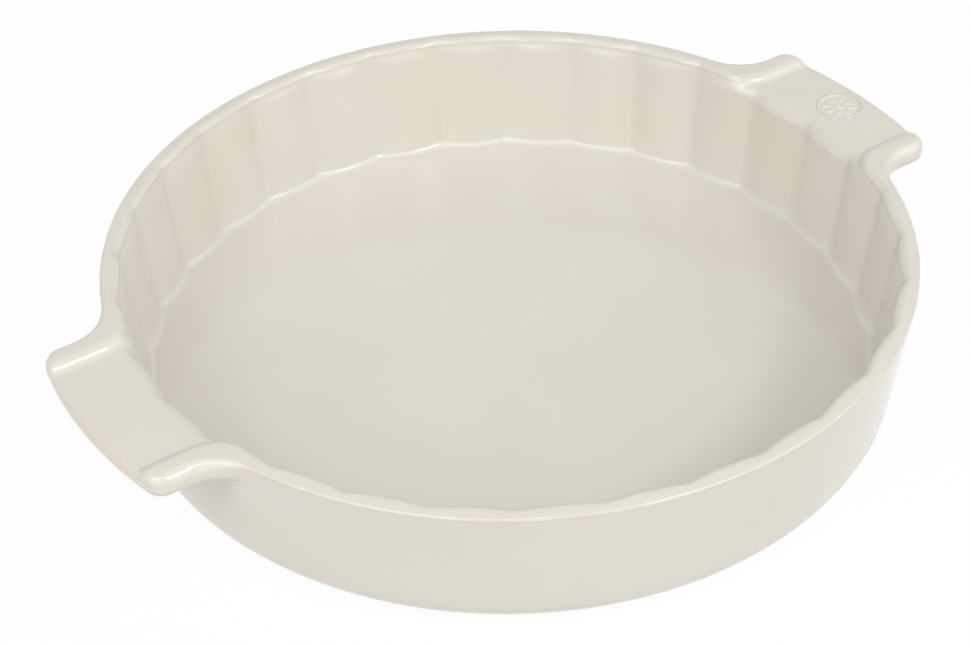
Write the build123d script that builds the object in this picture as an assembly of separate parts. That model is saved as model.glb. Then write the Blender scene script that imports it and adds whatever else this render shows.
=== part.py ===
from build123d import *
import math
import os

# Bowl, in millimetres and degrees
rim_radius = 150.0
body_height = 54.8
outer_draft = 7.28
base_round = 9.4
rim_round = 1.5
rim_width = 8.2
inner_rim_round = 5.0
inner_draft = 6.2
floor_thickness = 6.0
floor_fillet = 2.8

# Flutes of the inner wall: each lobe swells into the bowl, and the grooves between them reach out
flute_count = 32
flute_depth = 3.0
groove_round = 4.0
floor_depth_share = 0.42
rim_depth_share = 0.45

# Foot ring of bare clay, let into the underside
foot_margin = 1.8
foot_width = 6.0
foot_height = 0.8
foot_seat = 0.7
foot_bevel = 0.35

# Shelf handles: a flat tab between two raised side beads that run out of the rim
handle_reach = 24.0
handle_width = 84.8
handle_thickness = 9.0
handle_edge_radius = 181.0
handle_corner = 5.5
handle_blend = 13.0
underside_round = 3.0
bead_width = 11.1
bead_rise = 2.8
bead_round = 4.0
bead_bend = 13.0
tab_outer_round = 2.8
tab_inner_round = 6.0
cove_radius = 5.0

# Round medallion in the tab of the right-hand handle
medallion_diameter = 18.0
medallion_offset = 10.6
medallion_sink = 0.55
medallion_base = 0.7
petal_count = 8
petal_length = 4.6
petal_width = 2.9
petal_gap = 0.4
petal_rise = 0.45
heart_diameter = 4.2
heart_rise = 0.5
medallion_border = 1.0

# Fits: how far a tangent curve starts inside the wall, and how far cuts run past their part
bury = 0.9
overrun = 2.0

# Angles at which a rounding is sectioned, and the angle at which a rounded cut leaves its top plane
round_angles = (0.0, 30.0, 60.0, 90.0)
lean_angle = 70.0
cut_angles = (0.0, 41.0, 82.0)

# A roll's hub stands back from its edge by this share of the roll, so that it leaves the wall at a slope
roll_share = 0.95

base_radius = rim_radius - body_height * math.tan(math.radians(outer_draft))
foot_radius = base_radius - base_round - foot_margin
underside_z = foot_height
rim_z = underside_z + body_height
floor_z = underside_z + floor_thickness
tab_z = rim_z - bead_rise
handle_bottom_z = rim_z - handle_thickness
half_width = handle_width / 2
half_gap = half_width - bead_width
lobe_radius_at_rim = rim_radius - rim_width
edge_centre_x = rim_radius + handle_reach - handle_edge_radius


def outer_radius(z):
    """Radius of the plain cone outside the wall at height z."""
    return rim_radius - (rim_z - z) * math.tan(math.radians(outer_draft))


def lobe_radius(z):
    """Radius of the inner wall at the crowns of its lobes at height z."""
    return lobe_radius_at_rim - (rim_z - z) * math.tan(math.radians(inner_draft))


def at_angle(radius, degrees_round):
    """Plan point at this radius and azimuth."""
    angle = math.radians(degrees_round)
    return (radius * math.cos(angle), radius * math.sin(angle))


def arc_about(centre, start, end, z):
    """Short arc from start to end around a centre, all in plan, at height z."""
    radius = math.dist(centre, start)
    middle_x = start[0] + end[0] - 2 * centre[0]
    middle_y = start[1] + end[1] - 2 * centre[1]
    scale = radius / math.hypot(middle_x, middle_y)
    middle = (centre[0] + middle_x * scale, centre[1] + middle_y * scale)
    return ThreePointArc((*start, z), (*middle, z), (*end, z))


def on_side(point, side):
    """The plan point itself, or its mirror image across the handles' axis where side is -1."""
    return (point[0], side * point[1])


def straight(start, end, z):
    """Straight edge between two plan points at height z."""
    return Line((*start, z), (*end, z))


def in_flats(profile):
    """The same outline with each arc drawn as a few straight flats."""
    points = []
    for edge in profile.face().outer_wire().order_edges():
        flats = len(round_angles) - 1 if edge.geom_type == GeomType.CIRCLE else 1
        points += [edge.position_at(index / flats) for index in range(flats)]
    return make_face(Polyline(*points, close=True))


def fluted_section(lobe, depth, z):
    """Closed outline of lobes that bulge inward, joined by grooves, as tangent arcs."""
    half_pitch = 180 / flute_count
    cosine = math.cos(math.radians(half_pitch))
    hub = lobe + depth - groove_round
    top = lobe**2 + hub**2 - 2 * lobe * hub * cosine - groove_round**2
    lobe_arc = top / (2 * (hub * cosine + groove_round - lobe))
    edges = []
    for index in range(flute_count):
        groove_at = index * 2 * half_pitch
        lobe_at = groove_at + half_pitch
        groove_centre = at_angle(hub, groove_at)
        lobe_centre = at_angle(lobe + lobe_arc, lobe_at)
        share = lobe_arc / (lobe_arc + groove_round)
        leave = [l + (g - l) * share for l, g in zip(lobe_centre, groove_centre)]
        next_groove = at_angle(hub, groove_at + 2 * half_pitch)
        meet = [l + (g - l) * share for l, g in zip(lobe_centre, next_groove)]
        crown = at_angle(lobe, lobe_at)
        edges.append(ThreePointArc((*leave, z), (*crown, z), (*meet, z)))
        after = at_angle(lobe + lobe_arc, lobe_at + 2 * half_pitch)
        again = [l + (g - l) * share for l, g in zip(after, next_groove)]
        root = at_angle(lobe + depth, groove_at + 2 * half_pitch)
        edges.append(ThreePointArc((*meet, z), (*root, z), (*again, z)))
    return Wire(edges)


def bowl_blank():
    """The dish as a plain round block: underside, rounded foot of the wall, coned wall and rim."""
    profile = make_face(
        Polyline(
            (0, underside_z),
            (base_radius, underside_z),
            (rim_radius, rim_z),
            (0, rim_z),
            close=True,
        )
    )
    foot = profile.vertices().sort_by_distance((base_radius, underside_z))[0]
    profile = fillet(foot, base_round)
    rim = profile.vertices().sort_by_distance((rim_radius, rim_z))[0]
    profile = fillet(rim, rim_round)
    return revolve(Plane.XZ * in_flats(profile), Axis.Z)


def wall_block():
    """What a handle is fitted against: the round block, and the space above its rim."""
    above = Pos(0, 0, rim_z) * Cylinder(rim_radius - rim_round, 2 * overrun)
    return bowl_blank() + above


def cavity():
    """The space inside: fillet over the floor, drafted fluted wall, and the flare of the rim's edge."""
    steepest = 90 - inner_draft
    foot_top_z = floor_z + floor_fillet * (1 - math.cos(math.radians(steepest)))
    hub = lobe_radius(foot_top_z) - floor_fillet * math.sin(math.radians(steepest))
    foot = []
    for step in round_angles:
        angle = math.radians(steepest * step / round_angles[-1])
        rise = math.sin(angle) / math.sin(math.radians(steepest))
        depth = flute_depth * (floor_depth_share + (1 - floor_depth_share) * rise)
        radius = hub + floor_fillet * math.sin(angle)
        foot.append(fluted_section(radius, depth, floor_z + floor_fillet * (1 - math.cos(angle))))
    flare_radius = inner_rim_round / math.sin(math.radians(lean_angle))
    wall_top_z = rim_z - inner_rim_round
    flare = []
    for step in cut_angles:
        angle = math.radians(step)
        radius = lobe_radius(wall_top_z) + flare_radius * (1 - math.cos(angle))
        depth = flute_depth * (1 - (1 - rim_depth_share) * math.sin(angle) ** 2)
        flare.append(fluted_section(radius, depth, wall_top_z + flare_radius * math.sin(angle)))
    return Part() + Solid.make_loft(foot + flare, ruled=True)


def handle_section(inset, z):
    """Closed outline of a handle, drawn in all round by inset, which starts inside the wall."""
    wall = outer_radius(handle_bottom_z) - bury
    blend_y = half_width + handle_blend
    blend_x = math.sqrt((wall + handle_blend) ** 2 - blend_y**2)
    corner_y = half_width - handle_corner
    corner_x = edge_centre_x + math.sqrt((handle_edge_radius - handle_corner) ** 2 - corner_y**2)
    start_share = (wall - inset) / (wall + handle_blend)
    start = (blend_x * start_share, blend_y * start_share)
    side_in = (blend_x, half_width - inset)
    side_out = (corner_x, half_width - inset)
    tip_share = (handle_edge_radius - inset) / (handle_edge_radius - handle_corner)
    tip = (edge_centre_x + (corner_x - edge_centre_x) * tip_share, corner_y * tip_share)
    edges = []
    for side in (1, -1):
        blend, corner = on_side((blend_x, blend_y), side), on_side((corner_x, corner_y), side)
        root, near = on_side(start, side), on_side(side_in, side)
        far, end = on_side(side_out, side), on_side(tip, side)
        edges += [arc_about(blend, root, near, z), straight(near, far, z), arc_about(corner, far, end, z)]
    edges.append(arc_about((edge_centre_x, 0), tip, (tip[0], -tip[1]), z))
    edges.append(straight(start, (start[0], -start[1]), z))
    return Wire(edges)


def recess_section(spread, z):
    """Closed outline of the space between the beads, widened by spread, from the bowl outward."""
    inner = lobe_radius_at_rim - bury
    bend_y = half_gap + bead_bend
    bend_x = math.sqrt((inner + bead_bend) ** 2 - bend_y**2)
    share = (inner + spread) / (inner + bead_bend)
    mouth = (bend_x * share, bend_y * share)
    throat = (bend_x, half_gap + spread)
    out = (rim_radius + handle_reach + overrun, half_gap + spread)
    back = (mouth[0] - handle_reach, mouth[1])
    edges = [straight(out, (out[0], -out[1]), z), straight(back, (back[0], -back[1]), z)]
    for side in (1, -1):
        hub, inside = on_side((bend_x, bend_y), side), on_side(back, side)
        lip, start, end = on_side(mouth, side), on_side(throat, side), on_side(out, side)
        edges += [straight(inside, lip, z), arc_about(hub, lip, start, z), straight(start, end, z)]
    return Wire(edges)


def recess_block():
    """The space above the tab between the beads, whose sides lean out over the rounded beads."""
    lean_radius = bead_rise / math.sin(math.radians(lean_angle))
    sections = [recess_section(0, tab_z - tab_inner_round - overrun)]
    for step in cut_angles:
        angle = math.radians(step)
        spread = lean_radius * (1 - math.cos(angle))
        sections.append(recess_section(spread, tab_z + lean_radius * math.sin(angle)))
    return Part() + Solid.make_loft(sections, ruled=True)


def tab_cut(block, axis_x, edge, roll, outward):
    """What lies above the tab: flat, then rolled down over its edge, whose radius is about axis_x."""
    hub = edge - outward * roll * roll_share
    crossing = math.acos(roll_share)
    half = (math.pi / 2 + crossing) / 2
    low = tab_z - roll
    middle = (hub + outward * roll * math.cos(half), low + roll * math.sin(half))
    end = (hub + outward * roll * math.cos(crossing), low + roll * math.sin(crossing))
    past = edge + outward * overrun
    back = hub - outward * handle_reach
    lines = [
        ThreePointArc((hub, tab_z), middle, end),
        Polyline(end, (past, end[1]), (past, rim_z + overrun), (back, rim_z + overrun), (back, tab_z)),
        Line((back, tab_z), (hub, tab_z)),
    ]
    ring = revolve(Plane.XZ * in_flats(make_face(lines)), Axis.Z)
    return block & (Pos(axis_x, 0, 0) * ring)


def handle_body():
    """A handle with both beads still joined by a full-height block, rounded above and below."""
    below = []
    above = []
    for step in round_angles:
        angle = math.radians(step)
        lower = underside_round * (1 - math.sin(angle))
        below.append(handle_section(lower, handle_bottom_z + underside_round * (1 - math.cos(angle))))
        upper = bead_round * (1 - math.cos(angle))
        above.append(handle_section(upper, rim_z - bead_round + bead_round * math.sin(angle)))
    return Part() + Solid.make_loft(below + above, ruled=True)


def cove():
    """Soft web in the corner between a handle's underside and the wall, narrowing downward."""
    top = outer_radius(handle_bottom_z)
    low_z = handle_bottom_z - cove_radius
    low = outer_radius(low_z)
    inside = low - bury
    bend_share = 1 - math.sin(math.radians(45))
    bend = (low + cove_radius * bend_share, handle_bottom_z - cove_radius * bend_share)
    tip = (top + cove_radius, handle_bottom_z)
    lines = [
        Polyline((low, low_z), (inside, low_z), (inside, handle_bottom_z), tip),
        ThreePointArc(tip, bend, (low, low_z)),
    ]
    ring = revolve(Plane.XZ * in_flats(make_face(lines)), Axis.Z)
    wide = half_width - underside_round
    long = rim_radius + handle_reach
    upper = Pos(long / 2, 0, handle_bottom_z) * Rectangle(long, 2 * wide)
    lower = Pos(long / 2, 0, low_z) * Rectangle(long, 2 * (wide - cove_radius))
    return ring & loft([upper, lower], ruled=True)


def medallion_place():
    """Centre of the medallion's recess floor on the handle that points along X."""
    return Pos(rim_radius + medallion_offset, 0, tab_z - medallion_sink - medallion_base)


def rosette_medallion():
    """Round clay medallion: a plain disc with a raised border and a ring of petals round a heart."""
    radius = medallion_diameter / 2
    disc = extrude(Circle(radius), medallion_base)
    border = extrude(Circle(radius) - Circle(radius - medallion_border), medallion_base + petal_rise)
    petal_at = heart_diameter / 2 + petal_gap + petal_length / 2
    half_long, half_wide = petal_length / 2, petal_width / 2
    kite = Polyline((half_long, 0), (0, half_wide), (-half_long, 0), (0, -half_wide), close=True)
    petal = Pos(petal_at, 0) * extrude(make_face(kite), medallion_base + petal_rise)
    petals = [Rot(0, 0, index * 360 / petal_count) * petal for index in range(petal_count)]
    heart = extrude(Circle(heart_diameter / 2), medallion_base + heart_rise)
    return disc + border + petals + heart


def foot_ring():
    """Flat bare ring that the dish stands on."""
    height = foot_height + foot_seat
    ring = extrude(Circle(foot_radius) - Circle(foot_radius - foot_width), height)
    return chamfer(ring.edges().group_by(Axis.Z)[0], foot_bevel)


def build():
    blank = bowl_blank()
    block = recess_block()
    inner_cut = tab_cut(block, 0, lobe_radius(tab_z - tab_inner_round), tab_inner_round, -1)
    outer_cut = tab_cut(block, edge_centre_x, handle_edge_radius, tab_outer_round, 1)
    ring = foot_ring()
    bowl = blank - cavity() - inner_cut - Rot(0, 0, 180) * inner_cut - ring
    handle = handle_body() - outer_cut + cove() - wall_block()
    pocket_depth = medallion_sink + medallion_base + overrun
    pocket = medallion_place() * extrude(Circle(medallion_diameter / 2), pocket_depth)
    return {
        "dish_bowl": bowl,
        "handle_left": Rot(0, 0, 180) * handle,
        "handle_right": handle - pocket,
        "handle_medallion": medallion_place() * rosette_medallion(),
        "foot_ring": ring,
    }


os.makedirs("parts", exist_ok=True)
for name, shape in build().items():
    export_step(shape, f"parts/{name}.step")
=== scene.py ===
import math

import bpy
import numpy as np
from bpy.props import FloatProperty, FloatVectorProperty, IntProperty, PointerProperty
from bpy.types import Operator, Panel, PropertyGroup
from mathutils import Matrix, Vector


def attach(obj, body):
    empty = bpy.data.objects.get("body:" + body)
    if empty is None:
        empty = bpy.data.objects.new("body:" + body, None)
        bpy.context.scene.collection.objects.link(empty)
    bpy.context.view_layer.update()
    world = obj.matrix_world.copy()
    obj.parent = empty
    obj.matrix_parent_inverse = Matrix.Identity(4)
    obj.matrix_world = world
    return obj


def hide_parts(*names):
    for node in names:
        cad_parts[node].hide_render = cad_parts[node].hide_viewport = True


bl_info = {
    "name": "Fluted pie dish",
    "version": (1, 0, 0),
    "blender": (4, 5, 0),
    "location": "3D View > Sidebar > Pie dish",
    "description": "Glazed stoneware pie dish with a fluted inner wall and two shelf handles",
    "category": "Add Mesh",
}

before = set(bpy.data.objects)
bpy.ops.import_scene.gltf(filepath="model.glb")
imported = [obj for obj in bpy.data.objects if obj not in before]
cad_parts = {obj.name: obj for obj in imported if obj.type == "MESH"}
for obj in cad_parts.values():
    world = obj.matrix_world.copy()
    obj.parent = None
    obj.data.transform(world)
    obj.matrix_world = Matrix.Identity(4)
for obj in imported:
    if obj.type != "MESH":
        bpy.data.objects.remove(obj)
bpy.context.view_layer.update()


# Rings of the glazed body, in order from the floor's middle round to the underside's middle
FLOOR_RINGS, FILLET_RINGS, WALL_RINGS, LIP_RINGS = 7, 9, 8, 16
TOP_RINGS, CROWN_RINGS, EDGE_RINGS = 26, 9, 4
LOWER_RINGS, BACK_RINGS, COVE_RINGS = 7, 10, 7
OUTER_RINGS, BASE_RINGS, UNDERSIDE_RINGS = 5, 8, 4

# Its columns: even ones along the plain wall, and a fan at each handle, whose stretches are the
# inner and the outer part of the long arc, the corner, the side, the hollow blend and the wall
# beside it. The knots between the stretches are counted in flutes from the handle's middle.
COLUMNS_PER_FLUTE = 16
FAN_COUNTS = (20, 26, 14, 12, 22, 8)
FAN_KNOTS = (0.0, 0.93, 1.20, 1.27, 1.33, 1.87, 2.0)

MEDALLION_RINGS, MEDALLION_COLUMNS = 73, 288

# Distances in metres over which slopes and curvatures are measured
FINE_STEP, NORMAL_STEP, CURVE_STEP = 1e-5, 2e-5, 6e-4

# Rounds of settling for the points of the whole grid, of the top and of the outer edge
ROUNDS, TOP_ROUNDS, EDGE_ROUNDS = 14, 60, 8

# Curvatures, per metre, between which the glaze goes from plain to thin, or in hollows to a paler
# tint that is partly pooled glaze and partly a painted glow of light
THIN_BEND, POOL_AND_GLOW_BEND, RELIEF_BEND = (230.0, 560.0), (90.0, 420.0), (0.0, 1500.0)

# Cosines of the azimuth between which the flutes take on the shallower depth of a tab's edge
TAB_COSINES = (0.96, 0.985)

# Share of the rim's width over which its top falls outwards
FALL_SHARE = 0.8

# Camera, in rim radii to the right, away and up, as it sees the room from the dish
CAMERA_PLACE = (-0.06286, -4.58147, 3.71534)

# Each softbox: name, place in metres to the camera's right, away and up, width, height and power
SOFTBOXES = (
    ("right_key_softbox", (1.15, -0.96, 1.4), 0.7, 0.4, 6.5),
    ("left_key_softbox", (-1.15, -0.96, 1.4), 0.7, 0.4, 2.5),
    ("strip_softbox", (0.14, -1.0, 1.72), 2.4, 0.35, 10.5),
    ("left_softbox", (-1.03, -1.14, 1.29), 2.0, 1.4, 8.0),
    ("side_softbox", (1.73, -0.37, 0.94), 2.4, 1.6, 11.5),
    ("low_softbox", (-0.9, -1.6, 0.7), 1.8, 0.9, 5.2),
)

# Half the floor's width in metres
FLOOR_HALF = 3.0


def length(name, default, description):
    """A length in metres for a panel."""
    return FloatProperty(
        name=name,
        default=default,
        description=description,
        unit="LENGTH",
        subtype="DISTANCE",
        precision=5,
    )


def angle(name, degrees, description):
    """An angle, given in degrees and kept in radians as Blender keeps it."""
    return FloatProperty(
        name=name,
        default=math.radians(degrees),
        description=description,
        unit="ROTATION",
        subtype="ANGLE",
    )


def number(name, default, description):
    """A plain number."""
    return FloatProperty(name=name, default=default, description=description, precision=4)


def colour(name, default, description):
    """A linear colour without alpha."""
    return FloatVectorProperty(
        name=name, default=default, description=description, subtype="COLOR", size=3, min=0, max=1
    )


class DishSizes(PropertyGroup):
    """Sizes of the bowl, its flutes and its two handles."""

    rim_radius: length("Rim radius", 0.150, "Outer radius at the top of the rim")
    rim_height: length("Rim height", 0.0556, "Top of the rim above the table")
    underside: length("Underside", 0.0008, "Height of the glazed underside above the table")
    margin: length("Margin", 0.00008, "How far the wall keeps inside the solid, which is in flats")
    outer_draft: angle("Outer draft", 7.28, "Lean of the plain outer wall")
    base_round: length("Base round", 0.0094, "Rounding between the underside and the outer wall")
    rim_round: length("Rim round", 0.001, "Rounding of the rim's outer edge")
    rim_fall: length("Rim fall", 0.0006, "How far the rim's top falls outwards to its outer edge")
    rim_width: length("Rim width", 0.0082, "From the outer edge to the lobes' crowns at the rim")
    inner_rim_round: length("Inner rim round", 0.0038, "Rounding of the rim's inner edge")
    inner_draft: angle("Inner draft", 6.2, "Lean of the lobes")
    floor_height: length("Floor height", 0.0068, "Height of the floor above the table")
    floor_fillet: length("Floor fillet", 0.0028, "Rounding between the floor and the wall")
    flute_count: IntProperty(name="Flutes", default=32, description="Lobes round the inner wall")
    flute_depth: length("Flute depth", 0.0021, "From a lobe's crown to the bottom of a groove")
    groove_round: length("Groove round", 0.007, "Radius of a groove")
    floor_depth_share: number("Depth at floor", 0.85, "Share of the flute depth left at the floor")
    rim_depth_share: number("Depth at rim", 0.64, "Share of the flute depth left on top of the rim")
    tab_depth_share: number("Depth at tab", 0.4, "Share of the flute depth left on a tab's edge")
    handle_reach: length("Handle reach", 0.024, "How far a handle stands out from the rim")
    handle_width: length("Handle width", 0.0848, "Width over both beads")
    handle_thickness: length("Handle thickness", 0.009, "From the crest of a bead to the underside")
    handle_edge_radius: length("Edge radius", 0.181, "Radius of a handle's long edge")
    handle_corner: length("Corner", 0.0055, "Rounding of a handle's corners in plan")
    handle_blend: length("Blend", 0.013, "Hollow curve from a handle's side into the wall")
    underside_round: length("Underside round", 0.003, "Rounding under a handle's edge")
    cove: length("Cove", 0.005, "Hollow curve under a handle, down into the wall")
    bead_width: length("Bead width", 0.0111, "From a handle's side to the crease beside its bead")
    bead_rise: length("Bead rise", 0.0028, "How far the beads stand above the tab")
    bead_round: length("Bead round", 0.004, "Rounding of a bead on its outer side")
    bead_lean: number("Bead lean", 1.6, "How much wider than high a bead's inner flank is")
    bead_bend: length("Bead bend", 0.013, "Curve with which a bead runs into the rim")
    crease_round: length("Crease round", 0.0014, "Rounding in the crease between bead and tab")
    tab_outer_round: length("Tab outer round", 0.0028, "Rounding of the tab's outer edge")
    tab_inner_round: length("Tab inner round", 0.006, "Roll of the tab over its inner edge")
    medallion_diameter: length("Medallion", 0.018, "Diameter of the round medallion")
    medallion_offset: length("Medallion offset", 0.0106, "From the rim to the medallion's centre")
    medallion_sink: length("Medallion sink", 0.00055, "How far its ground lies below the tab")
    pocket_round: length("Pocket round", 0.0005, "Rounding of the medallion's pocket")
    medallion_base: length("Medallion base", 0.0007, "Thickness of its ground")


class MedallionSizes(PropertyGroup):
    """Sizes of the rosette on the medallion."""

    petal_count: IntProperty(name="Petals", default=8, description="Petals round the heart")
    petal_length: length("Petal length", 0.0046, "From tip to tip along a petal")
    petal_width: length("Petal width", 0.0029, "Across the middle of a petal")
    petal_gap: length("Petal gap", 0.0004, "Between the heart and the petals")
    petal_rise: length("Petal rise", 0.0004, "Height of the petals and the border")
    heart_diameter: length("Heart", 0.0042, "Diameter of the middle boss")
    heart_rise: length("Heart rise", 0.0005, "Height of the middle boss")
    border: length("Border", 0.001, "Width of the raised border")
    softness: length("Softness", 0.0004, "How far the glaze softens each outline to either side")


class GlazeLook(PropertyGroup):
    """Colours and gloss of the glaze and the bare clay."""

    ivory: colour("Ivory", (0.745, 0.718, 0.645), "Glaze where it lies thick")
    warm_ivory: colour("Warm ivory", (0.738, 0.70, 0.615), "Glaze where it lies thinner")
    edge_tint: colour("Edge tint", (0.70, 0.62, 0.52), "Glaze run thin over an edge, clay below")
    # Paler tint in hollows: partly glaze gathered there, partly a painted glow of light along the
    # wall's foot
    pool_and_glow_tint: colour("Pool tint", (0.75, 0.73, 0.67), "Glaze gathered in a hollow")
    pool_and_glow_share: number("Pooling", 0.35, "How strongly the pool tint shows in a hollow")
    gloss: number("Gloss roughness", 0.10, "Roughness of the fired glaze")
    glass_index: number("Glass index", 1.55, "Index of refraction of the glaze")
    clay: colour("Clay", (0.56, 0.45, 0.33), "Bare fired clay of the foot ring")


class StudioLook(PropertyGroup):
    """Camera, floor and lamps."""

    lens: FloatProperty(
        name="Lens", default=85.8, description="Focal length on a 36 mm wide frame", unit="CAMERA"
    )
    elevation: angle("Elevation", 38.20, "How steeply the camera looks down")
    roll: angle("Roll", -1.6, "Turn of the camera about its own axis")
    turn: angle("Turn", 33.4, "Turn of the handles' axis against the picture's width")
    floor_white: number("Floor white", 0.90, "Grey level of the floor as the camera sees it")
    floor_grey: number("Floor grey", 0.70, "Grey level with which the floor lights the dish")
    floor_wash: number("Floor wash", 0.95, "How far the floor is washed out for the camera")
    sky_strength: number("Sky strength", 0.36, "Light from all round")


def fade(low, high, value):
    """0 up to low and 1 from high on, with the smooth cubic 3t^2 - 2t^3 between them."""
    t = np.clip((value - low) / (high - low), 0.0, 1.0)
    return t * t * (3.0 - 2.0 * t)


def round_join(a, b, radius):
    """Two bodies as one, with a hollow rounding: the nearer distance, but at least the radius, less
    the length of what each distance falls short of the radius."""
    short = np.hypot(np.maximum(radius - a, 0), np.maximum(radius - b, 0))
    return np.maximum(radius, np.minimum(a, b)) - short


def round_meet(a, b, radius):
    """What two bodies share, with a rounded edge: the same rule with inside and outside changed
    over."""
    over = np.hypot(np.maximum(radius + a, 0), np.maximum(radius + b, 0))
    return np.minimum(-radius, np.maximum(a, b)) + over


def wall_radius(d, z):
    """Radius of the outer wall's cone at height z."""
    return d.rim_radius - (d.rim_height - z) * math.tan(d.outer_draft)


def handle_plan(d, x, y):
    """Distance in plan to the outline of both handles, which is drawn right through the bowl: the
    strip between their sides, cut by the long outer arc, with rounded corners."""
    across = np.abs(y) - d.handle_width / 2
    centre = d.rim_radius + d.handle_reach - d.handle_edge_radius
    along = np.hypot(np.abs(x) - centre, y) - d.handle_edge_radius
    return round_meet(across, along, d.handle_corner)


def flute_depth(d, azimuth, z):
    """Depth of the flutes: less towards the floor, and less again over the rounded inner edge of
    the rim or, by a handle, of its tab."""
    rise = fade(0.0, d.floor_fillet, z - d.floor_height)
    depth = d.flute_depth * (d.floor_depth_share + (1 - d.floor_depth_share) * rise)
    by_tab = fade(*TAB_COSINES, np.abs(np.cos(azimuth)))
    lip = d.inner_rim_round + (d.tab_inner_round - d.inner_rim_round) * by_tab
    top = np.clip((z - d.rim_height + d.bead_rise * by_tab) / lip + 1, 0, 1)
    left = d.rim_depth_share + (d.tab_depth_share - d.rim_depth_share) * by_tab
    return depth * (1 - (1 - left) * top**2)


def flute_radius(d, azimuth, z):
    """Radius of the fluted wall. Folded into half a flute, it is the near side of the lobe's
    circle or the far side of the groove's circle. Their centres lie half a pitch apart in azimuth,
    and their arcs touch."""
    half = math.pi / d.flute_count
    fold = np.abs((azimuth + half) % (2 * half) - half)
    depth = flute_depth(d, azimuth, z)
    lobe = d.rim_radius - d.rim_width - (d.rim_height - z) * math.tan(d.inner_draft)
    hub = lobe + depth - d.groove_round
    cosine, sine = math.cos(half), math.sin(half)
    arc = (lobe**2 + hub**2 - 2 * lobe * hub * cosine - d.groove_round**2) / (
        2 * (hub * cosine + d.groove_round - lobe)
    )
    share = d.groove_round / (d.groove_round + arc)
    touch_x = hub + ((lobe + arc) * cosine - hub) * share
    touch_y = (lobe + arc) * sine * share
    off_groove = np.maximum(d.groove_round**2 - (hub * np.sin(fold)) ** 2, 0)
    groove = hub * np.cos(fold) + np.sqrt(off_groove)
    from_crown = half - fold
    reach = lobe + arc
    off_crown = np.maximum(arc**2 - (reach * np.sin(from_crown)) ** 2, 0)
    crown = reach * np.cos(from_crown) - np.sqrt(off_crown)
    return np.where(fold < np.arctan2(touch_y, touch_x), groove, crown)


def dish_field(d, x, y, z):
    """Roughly the distance from the glazed surface, negative inside the clay. The coned body and
    the handles' slab are joined, and the rim's top, which falls a little outwards, cuts them. Then
    the space between the beads, the fluted cavity and the medallion's pocket are taken away, each
    with its own rounding."""
    radius = np.hypot(x, y)
    azimuth = np.arctan2(y, x)
    aside = np.abs(y)
    half_gap = d.handle_width / 2 - d.bead_width
    tab = d.rim_height - d.bead_rise
    slab_bottom = d.rim_height - d.handle_thickness

    cone = (radius + d.margin - wall_radius(d, z)) * math.cos(d.outer_draft)
    body = round_meet(cone, d.underside - z, d.base_round)
    plan = handle_plan(d, x, y)
    slab = round_meet(plan, slab_bottom - z, d.underside_round)
    high = fade(slab_bottom - d.cove, slab_bottom + d.underside_round, z)
    body = round_join(body, slab, d.cove + (d.handle_blend - d.cove) * high)

    by_handle = 1 - fade(0.0, d.handle_blend, plan)
    outwards = np.clip((radius - d.rim_radius) / (FALL_SHARE * d.rim_width) + 1, 0, 1)
    above = z - d.rim_height + d.rim_fall * outwards**2 * (1 - by_handle)
    body = round_meet(body, above, d.rim_round + (d.bead_round - d.rim_round) * by_handle)

    mouth = d.rim_radius - d.rim_width - d.bead_rise / 2
    between = round_join(aside - half_gap, radius - mouth, d.bead_bend)
    kept = round_join(-between / d.bead_lean, z - tab, d.crease_round)
    tab_narrow = half_gap - 0.5 * d.bead_bend
    tab_wide = half_gap + 0.4 * d.bead_bend
    past = fade(tab_wide, half_gap + d.bead_bend, aside)
    body = round_meet(body, kept, d.tab_outer_round * (1 - past) + d.crease_round * past)

    flutes = (radius - flute_radius(d, azimuth, z)) * math.cos(d.inner_draft)
    cavity = round_meet(flutes, d.floor_height - z, d.floor_fillet)
    on_tab = 1 - fade(tab_narrow, tab_wide, aside)
    on_tab = on_tab * fade(slab_bottom, slab_bottom + d.underside_round, z)
    lip = d.inner_rim_round + (d.tab_inner_round - d.inner_rim_round) * on_tab
    body = round_meet(body, -cavity, lip)

    across = np.hypot(x - d.rim_radius - d.medallion_offset, y)
    across = across - d.medallion_diameter / 2 + d.pocket_round / 2
    pocket = np.maximum(across, tab - d.medallion_sink - d.medallion_base / 2 - z)
    return round_meet(body, -pocket, d.pocket_round)


def slope(d, points, step):
    """Value, slope and Laplacian of the dish's field at points (n, 3), by central differences."""
    middle = dish_field(d, *points.T)
    gradient = np.empty_like(points)
    total = -6 * middle
    for axis in range(3):
        shift = np.zeros(3)
        shift[axis] = step
        ahead = dish_field(d, *(points + shift).T)
        behind = dish_field(d, *(points - shift).T)
        gradient[:, axis] = (ahead - behind) / (2 * step)
        total += ahead + behind
    return middle, gradient, total / step**2


def settle(d, points):
    """Newton's steps along the slope until each point lies on the surface."""
    longest = d.bead_rise / 2
    least_slope = 0.2
    for _ in range(ROUNDS):
        value, gradient, _unused = slope(d, points, FINE_STEP)
        size = np.maximum((gradient**2).sum(axis=1), least_slope)
        step = np.clip(value / size, -longest, longest)
        points = points - step[:, None] * gradient
    return points


def spread(start, end, count, power=1.0):
    """count steps from start towards end without the end itself, closer together at the start for
    a power above 1."""
    return start + (end - start) * (np.arange(count) / count) ** power


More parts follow.
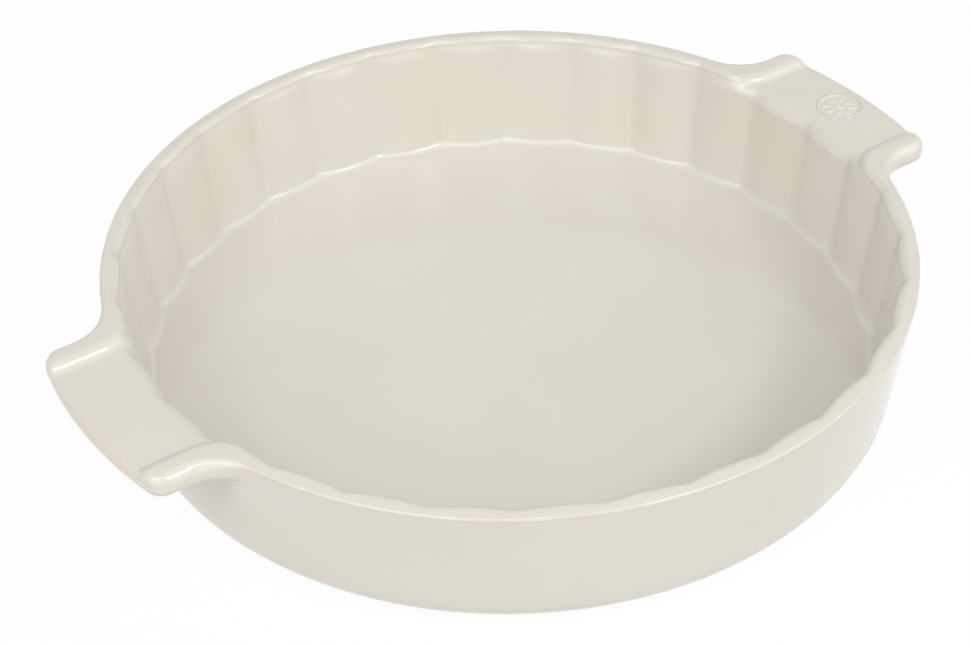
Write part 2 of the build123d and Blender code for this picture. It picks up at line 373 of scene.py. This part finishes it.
def quarter_columns(d):
    """Azimuth of each column on the inner wall, and the plan point where it crosses the outer edge,
    from a handle's middle to a quarter turn on. Along the handle the columns fan out over its long
    arc, corner, side and hollow blend."""
    pitch = 2 * math.pi / d.flute_count
    width = d.handle_width / 2
    edge = d.handle_edge_radius
    centre = d.rim_radius + d.handle_reach - edge
    corner_y = width - d.handle_corner
    corner_x = centre + math.sqrt((edge - d.handle_corner) ** 2 - corner_y**2)
    swing = math.atan2(corner_y, corner_x - centre)
    crease = math.asin((width - 1.4 * d.bead_width) / edge)
    wall = wall_radius(d, d.rim_height - d.handle_thickness / 2)
    blend_y = width + d.handle_blend
    blend_x = math.sqrt((wall + d.handle_blend) ** 2 - blend_y**2)
    lean = math.atan2(blend_y, blend_x)
    plain_from = FAN_KNOTS[-1] * pitch

    inner, outer, corner, straight, blend, near = FAN_COUNTS
    arc = np.concatenate([spread(0, crease, inner), spread(crease, swing, outer)])
    round_the_corner = spread(swing, math.pi / 2, corner)
    side = spread(corner_x, blend_x, straight)
    hollow = spread(1.5 * math.pi, math.pi + lean, blend)
    beside = spread(lean, plain_from, near)
    plain_flutes = d.flute_count // 4 - int(FAN_KNOTS[-1])
    plain = np.linspace(plain_from, math.pi / 2, plain_flutes * COLUMNS_PER_FLUTE + 1)
    out_x = np.concatenate(
        [
            centre + edge * np.cos(arc),
            corner_x + d.handle_corner * np.cos(round_the_corner),
            side,
            blend_x + d.handle_blend * np.cos(hollow),
            wall * np.cos(beside),
            wall * np.cos(plain),
        ]
    )
    out_y = np.concatenate(
        [
            edge * np.sin(arc),
            corner_y + d.handle_corner * np.sin(round_the_corner),
            np.full_like(side, width),
            blend_y + d.handle_blend * np.sin(hollow),
            wall * np.sin(beside),
            wall * np.sin(plain),
        ]
    )
    knots = [knot * pitch for knot in FAN_KNOTS]
    fan = [spread(low, high, count) for low, high, count in zip(knots, knots[1:], FAN_COUNTS)]
    return np.concatenate(fan + [plain]), out_x, out_y


def all_columns(d):
    """The quarter's columns, mirrored twice into the whole round without doubling any."""
    azimuth, out_x, out_y = quarter_columns(d)
    azimuth = np.concatenate([azimuth, math.pi - azimuth[-2::-1]])
    out_x = np.concatenate([out_x, -out_x[-2::-1]])
    out_y = np.concatenate([out_y, out_y[-2::-1]])
    azimuth = np.concatenate([azimuth, 2 * math.pi - azimuth[-2:0:-1]])
    out_x = np.concatenate([out_x, out_x[-2:0:-1]])
    out_y = np.concatenate([out_y, -out_y[-2:0:-1]])
    return azimuth, out_x, out_y


def edge_of_plan(d, x, y):
    """Distance in plan to the outer edge at the handles' height, hollow blends included."""
    cone = np.hypot(x, y) - wall_radius(d, d.rim_height - d.handle_thickness / 2)
    return round_join(cone, handle_plan(d, x, y), d.handle_blend)


def edge_columns(d, x, y):
    """The columns' outer points brought on to the outer edge, and its outward normal there."""
    step = FINE_STEP
    for _ in range(EDGE_ROUNDS):
        value = edge_of_plan(d, x, y)
        slope_x = (edge_of_plan(d, x + step, y) - edge_of_plan(d, x - step, y)) / (2 * step)
        slope_y = (edge_of_plan(d, x, y + step) - edge_of_plan(d, x, y - step)) / (2 * step)
        size = slope_x**2 + slope_y**2
        x = x - value * slope_x / size
        y = y - value * slope_y / size
    size = np.sqrt(size)
    return x, y, slope_x / size, slope_y / size


def mix(first, second, share):
    """From the first value at share 0 to the second at share 1."""
    return first * (1 - share) + second * share


class DishGrid:
    """Grid of rings by columns over the whole dish: out over the floor, up the fluted wall, over
    the rim or the handle, round its edge, back beneath it, down the outer wall and in over the
    underside. Each ring is first drawn by plain arcs and lines, so the shares of sizes used here
    only place starting points, and is then settled on to the field's surface."""

    def __init__(self, d):
        self.d = d
        self.rings = []
        azimuth, out_x, out_y = all_columns(d)
        out_x, out_y, normal_x, normal_y = edge_columns(d, out_x, out_y)
        self.azimuth = azimuth
        self.along_x, self.along_y = np.cos(azimuth), np.sin(azimuth)
        self.out_x, self.out_y = out_x, out_y
        self.normal_x, self.normal_y = normal_x, normal_y
        self.slab_bottom = d.rim_height - d.handle_thickness
        self.low = self.slab_bottom - d.cove
        self.reach = np.hypot(out_x, out_y) - wall_radius(d, self.slab_bottom)
        self.measure_lip_and_crown()

    def measure_lip_and_crown(self):
        """Radius of each column's rounding over the inner edge and over the outer edge, and the
        heights at which the two begin."""
        d = self.d
        bend = d.bead_bend
        half_gap = d.handle_width / 2 - d.bead_width
        mouth_y = (d.rim_radius - d.rim_width) * np.abs(self.along_y)
        tab_in = 1 - fade(half_gap - 0.15 * bend, half_gap + 0.7 * bend, mouth_y)
        lip = d.tab_inner_round * tab_in + d.inner_rim_round * (1 - tab_in)
        self.top_in = d.rim_height - d.bead_rise * tab_in
        on_bead = fade(half_gap - 0.1 * bend, half_gap + 0.5 * bend, np.abs(self.out_y))
        by_handle = fade(0.0, 0.6 * d.handle_reach, self.reach)
        crown = d.tab_outer_round + (d.bead_round - d.tab_outer_round) * on_bead
        crown = d.rim_round + (crown - d.rim_round) * by_handle
        self.top_out = d.rim_height - d.bead_rise * (1 - on_bead) - d.rim_fall * (1 - by_handle)
        room = np.hypot(self.out_x, self.out_y) - flute_radius(d, self.azimuth, self.top_in)
        narrow = np.minimum(1.0, 0.8 * room / (lip + crown))
        self.lip, self.crown = lip * narrow, crown * narrow

    def add(self, x, y, z):
        self.rings.append(np.stack(np.broadcast_arrays(x, y, z), axis=1))

    def add_round(self, radius, z):
        """A ring at each column's azimuth, at one radius or at one for each column."""
        self.add(radius * self.along_x, radius * self.along_y, z)

    def inset(self, run):
        """Plan of the outer edge, brought inwards by run."""
        return self.out_x - run * self.normal_x, self.out_y - run * self.normal_y

    def add_floor_and_wall(self):
        d, azimuth, lip = self.d, self.azimuth, self.lip
        foot = flute_radius(d, azimuth, d.floor_height) - d.floor_fillet
        for share in spread(0.0, 1.0, FLOOR_RINGS, 0.6)[1:]:
            self.add_round(foot * share, d.floor_height)
        for turn in spread(0.0, math.pi / 2 - d.inner_draft, FILLET_RINGS):
            z = d.floor_height + d.floor_fillet * (1 - math.cos(turn))
            self.add_round(flute_radius(d, azimuth, z) - d.floor_fillet * (1 - math.sin(turn)), z)
        wall_foot = d.floor_height + d.floor_fillet * (1 - math.sin(d.inner_draft))
        for share in spread(0.0, 1.0, WALL_RINGS):
            z = wall_foot + (self.top_in - lip - wall_foot) * share
            self.add_round(flute_radius(d, azimuth, z), z)
        for turn in spread(0.0, math.pi / 2, LIP_RINGS):
            z = self.top_in - lip + lip * math.sin(turn)
            self.add_round(flute_radius(d, azimuth, z) + lip * (1 - math.cos(turn)), z)

    def add_top(self):
        """Straight lines from the lip to the crown, drawn above the surface and let down on to it,
        and then the crown's rounding."""
        d, crown = self.d, self.crown
        start = flute_radius(d, self.azimuth, self.top_in) + self.lip
        end_x, end_y = self.inset(crown)
        first = len(self.rings)
        for share in spread(0.0, 1.0, TOP_RINGS, 1.15):
            x = start * self.along_x * (1 - share) + end_x * share
            y = start * self.along_y * (1 - share) + end_y * share
            self.add(x, y, d.rim_height + d.rim_round)
        top = np.array(self.rings[first:]).reshape(-1, 3)
        for _ in range(TOP_ROUNDS):
            top[:, 2] -= 0.9 * dish_field(d, *top.T)
        self.rings[first:] = list(top.reshape(TOP_RINGS, -1, 3))
        for turn in spread(math.pi / 2, 0.0, CROWN_RINGS):
            x, y = self.inset(crown * (1 - math.cos(turn)))
            self.add(x, y, self.top_out - crown * (1 - math.sin(turn)))

    def add_edge_and_back(self):
        """Down the handle's edge, round beneath it and back to its cove; away from the handles the
        same rings lie evenly down the plain wall."""
        d, slab_bottom = self.d, self.slab_bottom
        under = slab_bottom + d.underside_round
        body = fade(0.08 * d.handle_reach, 0.5 * d.handle_reach, self.reach)
        for share in spread(0.0, 1.0, EDGE_RINGS):
            self.add(self.out_x, self.out_y, mix(self.top_out - self.crown, under, share))
        steps = LOWER_RINGS + BACK_RINGS + COVE_RINGS
        root = wall_radius(d, slab_bottom) + d.cove
        for index in range(steps):
            if index < LOWER_RINGS:
                turn = math.pi / 2 * index / LOWER_RINGS
                x, y = self.inset(d.underside_round * (1 - math.cos(turn)))
                z = under - d.underside_round * math.sin(turn)
            elif index < LOWER_RINGS + BACK_RINGS:
                share = (index - LOWER_RINGS) / BACK_RINGS
                x, y = self.inset(d.underside_round)
                x = x * (1 - share) + root * self.along_x * share
                y = y * (1 - share) + root * self.along_y * share
                z = slab_bottom
            else:
                turn = math.pi / 2 * (index - LOWER_RINGS - BACK_RINGS) / COVE_RINGS
                x = (root - d.cove * math.sin(turn)) * self.along_x
                y = (root - d.cove * math.sin(turn)) * self.along_y
                z = self.low + d.cove * math.cos(turn)
            plain_z = under + (self.low - under) * index / steps
            plain = wall_radius(d, plain_z)
            self.add(
                x * body + plain * self.along_x * (1 - body),
                y * body + plain * self.along_y * (1 - body),
                z * body + plain_z * (1 - body),
            )

    def add_outside(self):
        """Down the plain wall, round the base and in over the underside."""
        d = self.d
        lean = d.outer_draft
        hub = d.underside + d.base_round
        top_of_base = hub - d.base_round * math.sin(lean)
        for share in spread(0.0, 1.0, OUTER_RINGS):
            z = self.low + (top_of_base - self.low) * share
            self.add_round(wall_radius(d, z), z)
        pivot = wall_radius(d, top_of_base) - d.base_round * math.cos(lean)
        for turn in spread(-lean, -math.pi / 2, BASE_RINGS):
            z = hub + d.base_round * math.sin(turn)
            self.add_round(pivot + d.base_round * math.cos(turn), z)
        for share in spread(0.0, 1.0, UNDERSIDE_RINGS, 1.4):
            self.add_round(pivot * (1 - share), d.underside)


def dish_points(d):
    """The whole grid's points on the surface, and how many rings and columns it has."""
    grid = DishGrid(d)
    grid.add_floor_and_wall()
    grid.add_top()
    grid.add_edge_and_back()
    grid.add_outside()
    points = settle(d, np.array(grid.rings).reshape(-1, 3))
    return points, len(grid.rings), len(grid.azimuth)


def grid_faces(rings, columns):
    """Quads of a grid closed round its columns, and the two fans that close its first and last ring
    on the two points that follow the grid."""
    ring = np.arange(rings - 1)[:, None] * columns
    column = np.arange(columns)[None, :]
    after = (column + 1) % columns
    below = ring + columns
    quads = np.stack([ring + column, below + column, below + after, ring + after], axis=-1)
    turn = np.arange(columns)
    onward = (turn + 1) % columns
    first = np.full(columns, rings * columns)
    end = (rings - 1) * columns
    fans = np.concatenate(
        [
            np.stack([first, turn, onward], axis=1),
            np.stack([first + 1, end + onward, end + turn], axis=1),
        ]
    )
    return quads.reshape(-1, 4), fans


def mesh_piece(name, points, quads, fans, normals=None, values=None):
    """A mesh object at the origin, with smooth shading, its own normals if given, and named values
    per point for its material."""
    mesh = bpy.data.meshes.new(name)
    corners = np.concatenate([quads.ravel(), fans.ravel()]).astype(np.int32)
    sizes = np.concatenate([np.full(len(quads), 4), np.full(len(fans), 3)]).astype(np.int32)
    starts = np.concatenate([[0], np.cumsum(sizes)[:-1]]).astype(np.int32)
    mesh.vertices.add(len(points))
    mesh.vertices.foreach_set("co", points.astype(np.float32).ravel())
    mesh.loops.add(len(corners))
    mesh.loops.foreach_set("vertex_index", corners)
    mesh.polygons.add(len(sizes))
    mesh.polygons.foreach_set("loop_start", starts)
    mesh.polygons.foreach_set("loop_total", sizes)
    mesh.update(calc_edges=True)
    mesh.shade_smooth()
    if normals is not None:
        mesh.normals_split_custom_set_from_vertices(normals.tolist())
    for key, value in (values or {}).items():
        layer = mesh.attributes.new(key, "FLOAT", "POINT")
        layer.data.foreach_set("value", value.astype(np.float32))
    piece = bpy.data.objects.new(name, mesh)
    bpy.context.scene.collection.objects.link(piece)
    return piece


class NodeBoard:
    """The nodes of a material, or of a world given as holder, added and wired one after another."""

    def __init__(self, name, holder=None):
        self.material = holder or bpy.data.materials.new(name)
        self.material.use_nodes = True
        self.tree = self.material.node_tree
        self.shader = self.tree.nodes["Background" if holder else "Principled BSDF"]
        self.output = self.tree.nodes["World Output" if holder else "Material Output"]

    def add(self, kind, links=None, **settings):
        """A node with its settings, fed by a dict of input name to output socket or plain value."""
        node = self.tree.nodes.new(kind)
        for key, value in settings.items():
            setattr(node, key, value)
        for key, value in (links or {}).items():
            self.feed(node.inputs[key], value)
        return node

    def feed(self, socket, value):
        """Wire an output socket to an input, or set the input to a plain value."""
        if isinstance(value, bpy.types.NodeSocket):
            self.tree.links.new(value, socket)
        else:
            socket.default_value = value

    def noise(self, scale, detail=2.0, roughness=0.5):
        """Noise on the object's own coordinates, in features per metre."""
        place = self.add("ShaderNodeTexCoord")
        links = {"Vector": place.outputs["Object"], "Scale": scale, "Detail": detail}
        links["Roughness"] = roughness
        return self.add("ShaderNodeTexNoise", links).outputs["Fac"]

    def between(self, value, low, high, start=0.0, end=1.0):
        """The value's range low to high brought smoothly to start to end."""
        links = {"Value": value, "From Min": low, "From Max": high}
        links.update({"To Min": start, "To Max": end})
        node = self.add("ShaderNodeMapRange", links, interpolation_type="SMOOTHSTEP")
        return node.outputs["Result"]

    def blend(self, factor, first, second):
        """Two colours mixed by a factor, on the mix node's colour sockets."""
        node = self.add("ShaderNodeMix", data_type="RGBA")
        first_colour, second_colour, mixed = node.inputs[6], node.inputs[7], node.outputs[2]
        self.feed(node.inputs["Factor"], factor)
        for socket, value in ((first_colour, first), (second_colour, second)):
            self.feed(socket, value if isinstance(value, bpy.types.NodeSocket) else (*value, 1.0))
        return mixed

    def times(self, first, second):
        """The product of two values."""
        node = self.add("ShaderNodeMath", operation="MULTIPLY")
        self.feed(node.inputs[0], first)
        self.feed(node.inputs[1], second)
        return node.outputs["Value"]

    def seen(self):
        """1 for rays from the camera and for those mirrored or bent on their way, else 0."""
        path = self.add("ShaderNodeLightPath")
        value = path.outputs["Is Camera Ray"]
        for kind in ("Is Glossy Ray", "Is Transmission Ray"):
            node = self.add("ShaderNodeMath", operation="MAXIMUM")
            self.feed(node.inputs[0], value)
            self.feed(node.inputs[1], path.outputs[kind])
            value = node.outputs["Value"]
        return value

    def bump(self, height, distance, strength, below=None):
        """Normals bent by a height, on top of those bent by the bump below."""
        links = {"Height": height, "Distance": distance, "Strength": strength}
        if below is not None:
            links["Normal"] = below
        return self.add("ShaderNodeBump", links).outputs["Normal"]


def glaze_material(look):
    """Glossy ivory glaze: soft clouds of two ivories, clay showing through where it ran thin on
    edges, a paler tint in hollows that is partly pooled glaze and partly a painted glow of light,
    and the faint unevenness of a fired glaze."""
    board = NodeBoard("ivory_glaze")
    clouds = board.between(board.noise(scale=16.0, detail=3.0), low=0.3, high=0.7)
    colour_now = board.blend(clouds, look.ivory, look.warm_ivory)
    # Hollows get the paler tint: partly pooled glaze, partly a painted glow of light
    hollow = board.add("ShaderNodeAttribute", attribute_name="pooled_glaze_and_glow").outputs["Fac"]
    colour_now = board.blend(board.times(hollow, look.pool_and_glow_share), colour_now, look.pool_and_glow_tint)
    thin = board.add("ShaderNodeAttribute", attribute_name="thin_glaze").outputs["Fac"]
    patches = board.noise(scale=70.0, detail=4.0)
    broken = board.between(patches, low=0.3, high=0.65, start=0.2, end=0.7)
    colour_now = board.blend(board.times(thin, broken), colour_now, look.edge_tint)
    board.feed(board.shader.inputs["Base Color"], colour_now)
    sheen = board.noise(scale=40.0, detail=2.0)
    sleek, dull = look.gloss - 0.04, look.gloss + 0.05
    roughness = board.between(sheen, low=0.3, high=0.7, start=sleek, end=dull)
    board.feed(board.shader.inputs["Roughness"], roughness)
    board.shader.inputs["IOR"].default_value = look.glass_index
    wave = board.bump(board.noise(scale=55.0, detail=1.0), distance=0.0008, strength=0.06)
    pores = board.noise(scale=900.0, detail=2.0)
    skin = board.bump(pores, distance=0.00008, strength=0.15, below=wave)
    board.feed(board.shader.inputs["Normal"], skin)
    return board.material


def clay_material(look):
    """Bare fired clay: matt, sandy, with small darker specks."""
    board = NodeBoard("bare_clay")
    grain = board.between(board.noise(scale=700.0, detail=4.0), low=0.35, high=0.7)
    darker = tuple(0.8 * part for part in look.clay)
    colour_now = board.blend(grain, look.clay, darker)
    specks = board.between(board.noise(scale=2600.0, detail=2.0), low=0.66, high=0.74)
    darkest = tuple(0.45 * part for part in look.clay)
    colour_now = board.blend(board.times(specks, 0.5), colour_now, darkest)
    board.feed(board.shader.inputs["Base Color"], colour_now)
    board.shader.inputs["Roughness"].default_value = 0.85
    sand = board.bump(grain, distance=0.0003, strength=0.5)
    board.feed(board.shader.inputs["Normal"], sand)
    return board.material


def curvature_values(d, points):
    """Outward normal of each point, how much its surface curves outward as an edge does, and how
    much it hollows, both from 0 to 1. The bend is the Laplacian over the slope's length, which is
    taken as at least a small one."""
    _value, gradient, _unused = slope(d, points, NORMAL_STEP)
    normals = gradient / np.linalg.norm(gradient, axis=1)[:, None]
    _value, wide, laplacian = slope(d, points, CURVE_STEP)
    least_slope = 0.3
    bend = laplacian / np.maximum(np.linalg.norm(wide, axis=1), least_slope)
    # The hollow measure drives the paler tint, partly pooled glaze and partly painted glow of light
    return normals, fade(*THIN_BEND, bend), fade(*POOL_AND_GLOW_BEND, -bend)


class DISH_OT_glazed_body(Operator):
    """Build the bowl and both handles as one glazed surface"""

    bl_idname = "dish.glazed_body"
    bl_label = "Glazed body"

    def execute(self, context):
        d = context.scene.dish_sizes
        points, rings, columns = dish_points(d)
        normals, thin, pooled_and_glow = curvature_values(d, points)
        ends = np.array([[0, 0, d.floor_height], [0, 0, d.underside]])
        points = np.vstack([points, ends])
        normals = np.vstack([normals, [[0, 0, 1], [0, 0, -1]]])
        quads, fans = grid_faces(rings, columns)
        # The hollow value carries the paler tint of pooled glaze and painted glow of light
        values = {"thin_glaze": np.append(thin, [0, 0]), "pooled_glaze_and_glow": np.append(pooled_and_glow, [0, 0])}
        piece = mesh_piece("glazed_body", points, quads, fans, normals, values)
        piece.data.materials.append(glaze_material(context.scene.dish_look))
        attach(piece, "root")
        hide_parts("dish_bowl", "handle_left", "handle_right")
        return {"FINISHED"}


def rosette_height(m, radius, azimuth, outer):
    """Height of the medallion's relief over its ground: a border, a ring of pointed petals and a
    domed heart, each a smooth step across its outline, the petals highest along their middles."""
    soft = m.softness
    border = fade(outer - m.border - soft, outer - m.border + soft, radius)
    step = 2 * math.pi / m.petal_count
    turn = (azimuth + step / 2) % step - step / 2
    middle = m.heart_diameter / 2 + m.petal_gap + m.petal_length / 2
    along = (radius * np.cos(turn) - middle) / (m.petal_length / 2)
    across = radius * np.sin(turn) / (m.petal_width / 2)
    leaf = 1 - along**2 - np.abs(across)
    petal = fade(-0.3, 0.75, leaf)
    dome = 0.8 + 0.2 * np.sqrt(np.clip(1 - (2 * radius / m.heart_diameter) ** 2, 0, 1))
    heart = fade(-soft, soft, m.heart_diameter / 2 - radius) * dome
    return np.maximum(m.petal_rise * np.maximum(border, petal), m.heart_rise * heart)


class DISH_OT_medallion(Operator):
    """Build the round medallion with its rosette in the tab of one handle"""

    bl_idname = "dish.medallion"
    bl_label = "Medallion"

    def execute(self, context):
        d, m = context.scene.dish_sizes, context.scene.medallion_sizes
        outer = d.medallion_diameter / 2
        ground = d.rim_height - d.bead_rise - d.medallion_sink
        azimuth = np.linspace(0, 2 * math.pi, MEDALLION_COLUMNS + 1)[:-1]
        radius = np.linspace(0, outer, MEDALLION_RINGS + 1)[1:]
        across, round_it = np.meshgrid(radius, azimuth, indexing="ij")
        height = rosette_height(m, across, round_it, outer)
        rolled_edge = fade(outer - 0.35 * m.border, outer, across)
        height -= 0.5 * m.petal_rise * rolled_edge
        x, y = across * np.cos(round_it), across * np.sin(round_it)
        top = np.stack([x, y, ground + height], axis=-1)
        foot = top[-1].copy()
        foot[:, 2] = ground - d.medallion_base
        points = np.concatenate([top.reshape(-1, 3), foot])
        centre = rosette_height(m, np.array([0.0]), np.array([0.0]), outer)[0]
        ends = np.array([[0, 0, ground + centre], [0, 0, ground - d.medallion_base]])
        points = np.vstack([points, ends])
        points[:, 0] += d.rim_radius + d.medallion_offset
        rings = len(radius) + 1
        quads, fans = grid_faces(rings, len(azimuth))
        bend = np.gradient(np.gradient(height, radius, axis=0), radius, axis=0)
        side = np.zeros(len(azimuth) + 2)
        thin = np.concatenate([fade(*RELIEF_BEND, -bend).ravel(), side])
        # Hollows of the relief get the same paler tint, partly pooled glaze and partly painted glow
        # of light
        pooled_and_glow = np.concatenate([fade(*RELIEF_BEND, bend).ravel(), side])
        values = {"thin_glaze": 0.6 * thin, "pooled_glaze_and_glow": pooled_and_glow}
        piece = mesh_piece("medallion", points, quads, fans, None, values)
        piece.data.materials.append(bpy.data.materials["ivory_glaze"])
        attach(piece, "root")
        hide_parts("handle_medallion")
        return {"FINISHED"}


class DISH_OT_foot_ring(Operator):
    """Give the foot ring its bare clay"""

    bl_idname = "dish.foot_ring"
    bl_label = "Foot ring"

    def execute(self, context):
        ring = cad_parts["foot_ring"]
        ring.data.materials.clear()
        ring.data.materials.append(clay_material(context.scene.dish_look))
        return {"FINISHED"}


def onto_dish(s):
    """Turn from the camera's right, away and up to the dish's own axes."""
    return Matrix.Rotation(-s.turn, 3, "Z")


def aim(place, target):
    """Matrix that puts a lamp at place and points it at target."""
    turn = (Vector(target) - Vector(place)).to_track_quat("-Z", "Y")
    return Matrix.Translation(place) @ turn.to_matrix().to_4x4()


class DISH_OT_studio(Operator):
    """Build the floor, the soft studio light and the camera"""

    bl_idname = "dish.studio"
    bl_label = "Studio"

    def execute(self, context):
        s, d = context.scene.studio_look, context.scene.dish_sizes
        self.add_floor(s)
        self.add_sky(context, s)
        self.add_camera(context, s, d)
        for softbox in SOFTBOXES:
            self.add_lamp(s, *softbox)
        return {"FINISHED"}

    def add_floor(self, s):
        """A wide paper floor, which the camera sees as white but for the dish's shadow."""
        corners = np.array([[-1, -1, 0], [1, -1, 0], [1, 1, 0], [-1, 1, 0]])
        one_quad, no_fans = np.array([[0, 1, 2, 3]]), np.empty((0, 3), int)
        floor = mesh_piece("floor", FLOOR_HALF * corners, one_quad, no_fans)
        board = NodeBoard("paper_floor")
        paper = board.blend(board.seen(), (s.floor_grey,) * 3, (s.floor_white,) * 3)
        board.feed(board.shader.inputs["Base Color"], paper)
        board.shader.inputs["Roughness"].default_value = 0.9
        white = board.add("ShaderNodeEmission", {"Color": (1, 1, 1, 1), "Strength": 1.0})
        mix = board.add("ShaderNodeMixShader", {"Fac": board.times(board.seen(), s.floor_wash)})
        board.feed(mix.inputs[1], board.shader.outputs["BSDF"])
        board.feed(mix.inputs[2], white.outputs["Emission"])
        board.feed(board.output.inputs["Surface"], mix.outputs["Shader"])
        floor.data.materials.append(board.material)

    def add_sky(self, context, s):
        """Even light from all round, which the camera sees as white."""
        world = bpy.data.worlds.new("studio_sky")
        board = NodeBoard("studio_sky", world)
        board.shader.inputs["Color"].default_value = (1, 1, 1, 1)
        board.shader.inputs["Strength"].default_value = s.sky_strength
        white = board.add("ShaderNodeBackground", {"Color": (1, 1, 1, 1), "Strength": 1.0})
        mix = board.add("ShaderNodeMixShader", {"Fac": board.seen()})
        board.feed(mix.inputs[1], board.shader.outputs["Background"])
        board.feed(mix.inputs[2], white.outputs["Background"])
        board.feed(board.output.inputs["Surface"], mix.outputs["Shader"])
        context.scene.world = world

    def add_lamp(self, s, name, place_in_view, wide, high, power):
        """A softbox placed as the camera sees the room: to its right, away from it, and up."""
        data = bpy.data.lights.new(name, "AREA")
        data.shape = "RECTANGLE"
        data.size = wide
        data.size_y = high
        data.energy = power
        lamp = bpy.data.objects.new(name, data)
        lamp.matrix_world = aim(onto_dish(s) @ Vector(place_in_view), (0, 0, 0))
        bpy.context.scene.collection.objects.link(lamp)

    def add_camera(self, context, s, d):
        """The picture's width runs level but for the roll, and the handles' axis is turned against
        it."""
        place_in_view = Vector(CAMERA_PLACE) * d.rim_radius
        right = Vector((1, 0, 0))
        forward = Vector((0, math.cos(s.elevation), -math.sin(s.elevation)))
        up = right.cross(forward)
        rolled_right = math.cos(s.roll) * right + math.sin(s.roll) * up
        rolled_up = math.cos(s.roll) * up - math.sin(s.roll) * right
        turned = onto_dish(s) @ Matrix((rolled_right, rolled_up, -forward)).transposed()
        data = bpy.data.cameras.new("camera")
        data.lens = s.lens
        data.sensor_width = 36
        data.clip_end = 20
        camera = bpy.data.objects.new("camera", data)
        place = onto_dish(s) @ place_in_view
        place.z += d.underside
        camera.matrix_world = Matrix.Translation(place) @ turned.to_4x4()
        context.scene.collection.objects.link(camera)
        context.scene.camera = camera


class DISH_PT_panel(Panel):
    """Sizes, looks and steps of the pie dish"""

    bl_idname = "DISH_PT_panel"
    bl_label = "Pie dish"
    bl_space_type = "VIEW_3D"
    bl_region_type = "UI"
    bl_category = "Pie dish"

    def draw(self, context):
        for step in (DISH_OT_glazed_body, DISH_OT_medallion, DISH_OT_foot_ring, DISH_OT_studio):
            self.layout.operator(step.bl_idname)
        for name in ("dish_sizes", "medallion_sizes", "dish_look", "studio_look"):
            group = getattr(context.scene, name)
            column = self.layout.column()
            for key in group.bl_rna.properties.keys():
                if key not in ("rna_type", "name"):
                    column.prop(group, key)


CLASSES = (
    DishSizes,
    MedallionSizes,
    GlazeLook,
    StudioLook,
    DISH_OT_glazed_body,
    DISH_OT_medallion,
    DISH_OT_foot_ring,
    DISH_OT_studio,
    DISH_PT_panel,
)


def register():
    for kind in CLASSES:
        bpy.utils.register_class(kind)
    bpy.types.Scene.dish_sizes = PointerProperty(type=DishSizes)
    bpy.types.Scene.medallion_sizes = PointerProperty(type=MedallionSizes)
    bpy.types.Scene.dish_look = PointerProperty(type=GlazeLook)
    bpy.types.Scene.studio_look = PointerProperty(type=StudioLook)


def unregister():
    for name in ("dish_sizes", "medallion_sizes", "dish_look", "studio_look"):
        delattr(bpy.types.Scene, name)
    for kind in reversed(CLASSES):
        bpy.utils.unregister_class(kind)


def main():
    register()
    bpy.context.scene.view_settings.view_transform = "Standard"
    bpy.ops.dish.glazed_body()
    bpy.ops.dish.medallion()
    bpy.ops.dish.foot_ring()
    bpy.ops.dish.studio()


if __name__ == "__main__":
    main()
